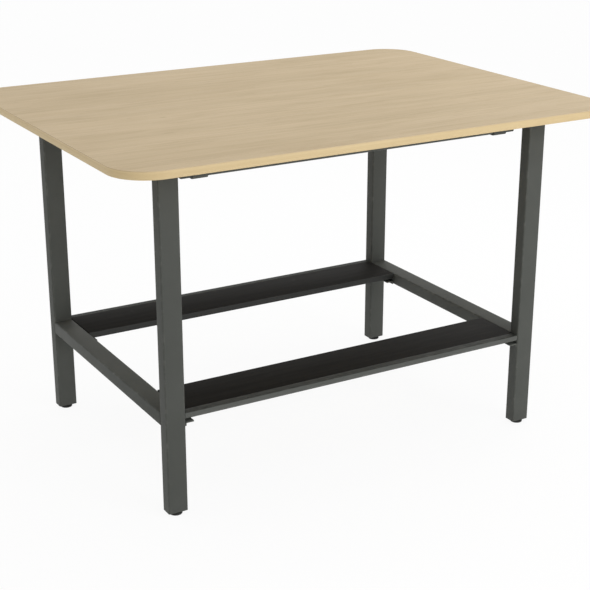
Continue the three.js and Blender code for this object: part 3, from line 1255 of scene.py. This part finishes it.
@dataclass
class LevellingFoot(SubAssembly):
    """Foot under one leg: insert in the leg, threaded stem with a hexagon, pad turning on its pivot."""

    place: Place
    leg_x: float = 612.0
    leg_y: float = 423.0
    pad_radius: float = 19.0
    pad_height: float = 8.0
    pad_floor: float = 2.5
    pad_steps: int = 64
    recess: float = 0.6
    rim: float = 4.4
    toe: float = 0.8
    toe_rise: float = 1.2
    shoulder: float = 3.0
    shoulder_drop: float = 2.6
    boss: float = 4.4
    boss_rise: float = 0.9
    slope: float = 0.6
    pivot: float = 3.5
    pivot_overlap: float = 0.2
    seat_gap: float = 0.3
    collar_across: float = 15.0
    collar_height: float = 7.0
    collar_chamfer: float = 0.7
    stem_crest: float = 4.9
    stem_root: float = 4.05
    stem_steps: int = 24
    pitch: float = 1.5
    turns: int = 37
    arc: int = 3

    def build(self) -> None:
        """Builds the pad and the stem, and dresses the insert."""
        label = self.place.label
        sx, sy = self.place.signs
        spot = (sx * self.leg_x, sy * self.leg_y, 0.0)
        pad = self.draw_pad().move(spot)
        self.fit(pad, f"foot_disc_{label}", Slot.PLASTIC, [f"foot_pad_{label}"], f"pad_{label}")
        stem = self.draw_stem().move(spot)
        self.fit(stem, f"foot_screw_{label}", Slot.ZINC, [f"foot_stem_{label}"], f"stem_{label}")
        self.dress(f"foot_insert_{label}", Slot.PLASTIC)

    def draw_pad(self) -> Form:
        """Draws the turned pad, with a rim under it and a socket for the pivot.

        Returns:
            The pad, standing at the origin.
        """
        socket = self.pivot + self.seat_gap
        rim = self.pad_radius - self.rim
        deck = self.pad_height - self.boss_rise
        half = [
            (0.0, self.recess, 0.0),
            (rim - self.slope, self.recess, 0.3),
            (rim, 0.0, 0.2),
            (self.pad_radius - self.toe, 0.0, 0.5),
            (self.pad_radius, self.toe_rise, 0.6),
            (self.pad_radius, self.pad_height - self.shoulder_drop, 1.0),
            (self.pad_radius - self.shoulder, deck, 1.2),
            (socket + self.boss + self.slope, deck, 0.5),
            (socket + self.boss, self.pad_height, 0.4),
            (socket, self.pad_height, 0.4),
            (socket, self.pad_floor, 0.2),
            (0.0, self.pad_floor, 0.0),
        ]
        return Form().lathe(half, self.pad_steps, self.arc)

    def draw_stem(self) -> Form:
        """Draws the pivot, the hexagon collar and the thread above it.

        Returns:
            The stem, over the origin.
        """
        collar_low = self.pad_height + self.seat_gap
        collar_high = collar_low + self.collar_height
        foot = self.pad_floor + self.seat_gap
        head = collar_low + self.pivot_overlap
        half = [(0.0, foot, 0.0), (self.pivot, foot, 0.5), (self.pivot, head, 0.0), (0.0, head, 0.0)]
        stem = Form().lathe(half, self.stem_steps, self.arc)
        stem.add(Form().hexagon(self.collar_across, collar_low, collar_high, self.collar_chamfer))
        thread = Form().thread(self.stem_root, self.stem_crest, self.pitch, self.turns)
        return stem.add(thread.move((0.0, 0.0, collar_high - self.pitch / 2)))


@dataclass
class Lamp:
    """One soft area lamp of the studio."""

    title: str
    spot: Triple
    aim: Triple
    size: float
    power: float

    def build(self) -> None:
        """Hangs the lamp."""
        light = bpy.data.lights.new(self.title, "AREA")
        light.shape = "SQUARE"
        light.size = self.size
        light.energy = self.power
        hung = bpy.data.objects.new(self.title, light)
        hung.location = self.spot
        hung.rotation_euler = (Vector(self.aim) - Vector(self.spot)).to_track_quat("-Z", "Y").to_euler()
        bpy.context.scene.collection.objects.link(hung)


@dataclass
class Studio:
    """White floor, soft lamps, white surroundings and the camera."""

    floor_radius: float = 30.0
    floor_sides: int = 96
    floor_white: float = 0.96
    floor_glow: float = 0.92
    horizon: float = 0.15
    zenith: float = 1.15
    lens: float = 83.65
    yaw: float = 30.159
    pitch: float = 19.831
    spot: Triple = (-2.0533, -3.5762, 1.9008)

    def build(self) -> None:
        """Sets up floor, lamps, world and camera."""
        self.build_floor()
        self.build_world()
        Lamp("key_lamp", (1.9, -5.3, 2.1), aim=(0.2, 0.0, 0.6), size=3.2, power=115.0).build()
        Lamp("over_lamp", (2.4, 0.5, 3.0), aim=(0.0, 0.0, 1.0), size=2.0, power=20.0).build()
        self.build_camera()
        bpy.context.scene.view_settings.view_transform = "Standard"

    def seen_directly(self, shader: Shader) -> Value:
        """Tells the rays that show the white surroundings from those that carry light.

        Args:
            shader: tree of the floor or the world.

        Returns:
            1 for rays of the camera, of gloss and of glass, and 0 for the others.
        """
        path = shader.node("ShaderNodeLightPath")
        camera, gloss, glass = (
            Value(shader, path.outputs[f"Is {kind} Ray"]) for kind in ("Camera", "Glossy", "Transmission")
        )
        return (camera + gloss + glass).clamped()

    def build_floor(self) -> None:
        """Lays the floor, white where nothing shades it."""
        mesh = bmesh.new()
        bmesh.ops.create_circle(mesh, cap_ends=True, segments=self.floor_sides, radius=self.floor_radius)
        data = bpy.data.meshes.new("floor")
        mesh.to_mesh(data)
        mesh.free()
        floor = bpy.data.objects.new("floor", data)
        bpy.context.scene.collection.objects.link(floor)
        made = bpy.data.materials.new("floor_white")
        made.use_nodes = True
        shader = Shader(made.node_tree)
        white = (self.floor_white, self.floor_white, self.floor_white, 1.0)
        matt = shader.value("ShaderNodeBsdfDiffuse", inputs={"Color": white})
        glow = shader.value("ShaderNodeEmission", inputs={"Color": WHITE, "Strength": 1.0})
        share = self.seen_directly(shader) * self.floor_glow
        lit = shader.value("ShaderNodeMixShader", inputs={0: share, 1: matt, 2: glow})
        clear = shader.value("ShaderNodeBsdfTransparent")
        below = shader.value("ShaderNodeNewGeometry", output="Backfacing")
        surface = shader.value("ShaderNodeMixShader", inputs={0: below, 1: lit, 2: clear})
        shader.node("ShaderNodeOutputMaterial", inputs={"Surface": surface})
        data.materials.append(made)

    def build_world(self) -> None:
        """Sets the white surroundings."""
        world = bpy.data.worlds.new("studio")
        world.use_nodes = True
        bpy.context.scene.world = world
        shader = Shader(world.node_tree)
        way = shader.value("ShaderNodeTexCoord", output="Generated")
        parted = shader.node("ShaderNodeSeparateXYZ", inputs={0: way})
        low = shader.value("ShaderNodeBackground", inputs={"Color": WHITE, "Strength": self.horizon})
        high = shader.value("ShaderNodeBackground", inputs={"Color": WHITE, "Strength": self.zenith})
        height = Value(shader, parted.outputs[2]).clamped()
        light = shader.value("ShaderNodeMixShader", inputs={0: height, 1: low, 2: high})
        shown = shader.value("ShaderNodeBackground", inputs={"Color": WHITE, "Strength": 1.0})
        inputs = {0: self.seen_directly(shader), 1: light, 2: shown}
        mixed = shader.value("ShaderNodeMixShader", inputs=inputs)
        shader.node("ShaderNodeOutputWorld", inputs={"Surface": mixed})

    def build_camera(self) -> None:
        """Sets the camera at the photograph's viewing angle."""
        data = bpy.data.cameras.new("camera")
        data.lens = self.lens
        camera = bpy.data.objects.new("camera", data)
        camera.location = self.spot
        camera.rotation_euler = (math.radians(90.0 - self.pitch), 0.0, math.radians(-self.yaw))
        bpy.context.scene.collection.objects.link(camera)
        bpy.context.scene.camera = camera


def main() -> None:
    """Builds the table's looks and the studio, in order."""
    logging.basicConfig(level=logging.INFO, format="%(name)s: %(message)s")
    tube, screw = Tube(), WoodScrew()
    Studio().build()
    groups: list[SubAssembly] = [TableTop()]
    groups += [EndFrame(end, tube, screw) for end in End]
    for flank in Flank:
        groups += [LongBeam(flank, tube, screw), Footrest(flank)]
    groups += [LevellingFoot(place) for place in Place]
    for group in groups:
        group.build()


if __name__ == "__main__":
    main()
